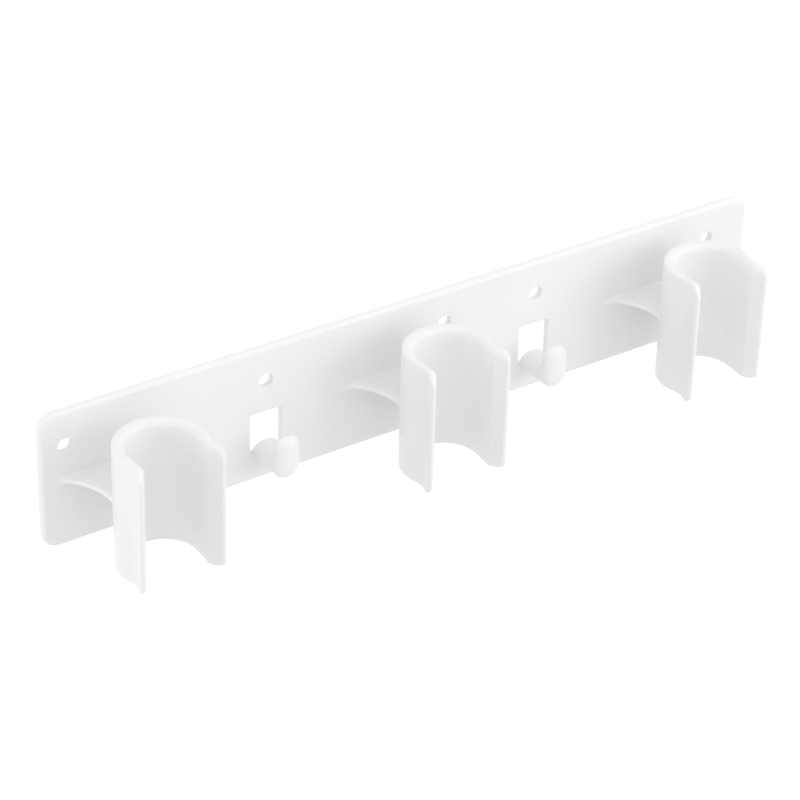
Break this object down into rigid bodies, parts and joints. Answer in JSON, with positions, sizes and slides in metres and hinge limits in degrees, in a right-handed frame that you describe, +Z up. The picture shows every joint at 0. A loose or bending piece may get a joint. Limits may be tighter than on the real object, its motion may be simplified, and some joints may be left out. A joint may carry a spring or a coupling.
{
  "type": "wall mop holder rack",
  "caption": "Long wall plate with open-fronted spring sleeves on webs for mop and broom handles, and upturned hooks below square windows for brushes and cloths.",
  "frame": {"origin": "on the plate's back face, at its mid height, behind the centre sleeve's axis", "axes": "+X along the plate to the right as seen from the room, +Y into the wall, +Z up"},
  "size_m": [0.419, 0.0631, 0.075],
  "materials": {
    "white_plastic": "satin moulded"
  },
  "bodies": {
    "rack": {"back_plate": "white_plastic", "left_web": "white_plastic", "centre_web": "white_plastic", "right_web": "white_plastic", "left_sleeve_back": "white_plastic", "centre_sleeve_back": "white_plastic", "right_sleeve_back": "white_plastic", "left_hook": "white_plastic", "right_hook": "white_plastic"},
    "left_sleeve_left_arm": {"left_sleeve_left_arm": "white_plastic"},
    "left_sleeve_right_arm": {"left_sleeve_right_arm": "white_plastic"},
    "centre_sleeve_left_arm": {"centre_sleeve_left_arm": "white_plastic"},
    "centre_sleeve_right_arm": {"centre_sleeve_right_arm": "white_plastic"},
    "right_sleeve_left_arm": {"right_sleeve_left_arm": "white_plastic"},
    "right_sleeve_right_arm": {"right_sleeve_right_arm": "white_plastic"}
  },
  "joints": [
    {"name": "left_sleeve_left_arm_flex", "type": "hinge", "parent": "rack", "child": "left_sleeve_left_arm", "pos_m": [-0.17994, -0.03948, -0.00125], "axis": [0, 0, -1], "range_deg": [0, 4], "stiffness_Nm_per_rad": 3},
    {"name": "left_sleeve_right_arm_flex", "type": "hinge", "parent": "rack", "child": "left_sleeve_right_arm", "pos_m": [-0.14006, -0.03948, -0.00125], "axis": [0, 0, 1], "range_deg": [0, 4], "stiffness_Nm_per_rad": 3},
    {"name": "centre_sleeve_left_arm_flex", "type": "hinge", "parent": "rack", "child": "centre_sleeve_left_arm", "pos_m": [-0.01994, -0.03948, -0.00125], "axis": [0, 0, -1], "range_deg": [0, 4], "stiffness_Nm_per_rad": 3},
    {"name": "centre_sleeve_right_arm_flex", "type": "hinge", "parent": "rack", "child": "centre_sleeve_right_arm", "pos_m": [0.01994, -0.03948, -0.00125], "axis": [0, 0, 1], "range_deg": [0, 4], "stiffness_Nm_per_rad": 3},
    {"name": "right_sleeve_left_arm_flex", "type": "hinge", "parent": "rack", "child": "right_sleeve_left_arm", "pos_m": [0.14006, -0.03948, -0.00125], "axis": [0, 0, -1], "range_deg": [0, 4], "stiffness_Nm_per_rad": 3},
    {"name": "right_sleeve_right_arm_flex", "type": "hinge", "parent": "rack", "child": "right_sleeve_right_arm", "pos_m": [0.17994, -0.03948, -0.00125], "axis": [0, 0, 1], "range_deg": [0, 4], "stiffness_Nm_per_rad": 3}
  ]
}
